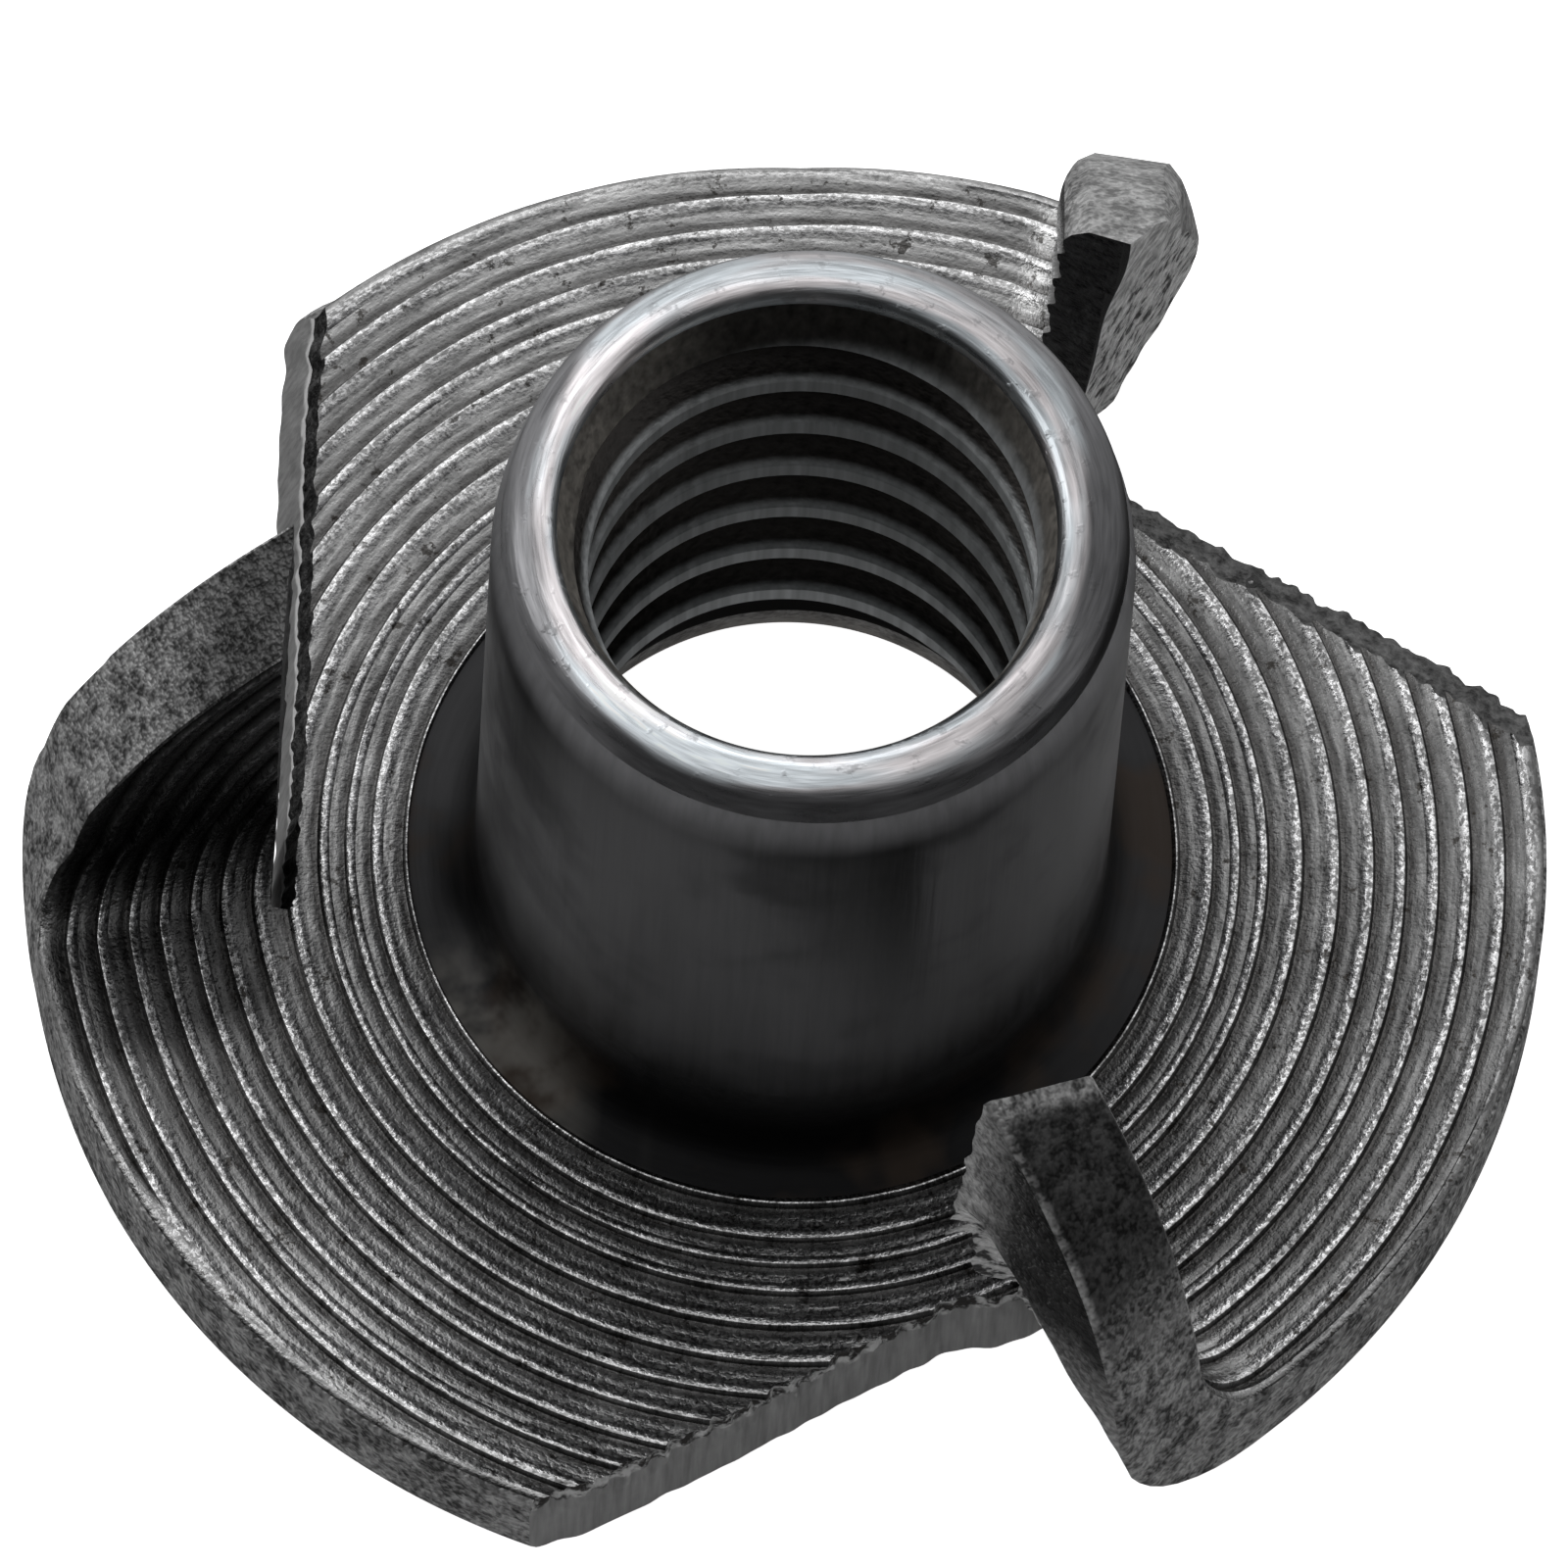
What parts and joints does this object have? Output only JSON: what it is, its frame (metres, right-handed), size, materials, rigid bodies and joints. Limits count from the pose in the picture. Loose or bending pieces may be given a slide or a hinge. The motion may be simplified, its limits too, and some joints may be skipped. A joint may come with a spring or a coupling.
{
  "type": "tee nut",
  "caption": "Pronged tee nut: a threaded steel barrel drawn up from a round ringed flange, with flaps of the flange folded up as prongs to bite into wood.",
  "frame": {"origin": "centre of the flange's underside", "axes": "+Z along the barrel from the flange to the tip; the first prong's sheared edge lies square to -X"},
  "size_m": [0.0222, 0.0215, 0.0129],
  "materials": {
    "steel": "bare, dark, with turned rings on the flange"
  },
  "bodies": {
    "root": {"tee_nut": "steel"}
  },
  "joints": []
}
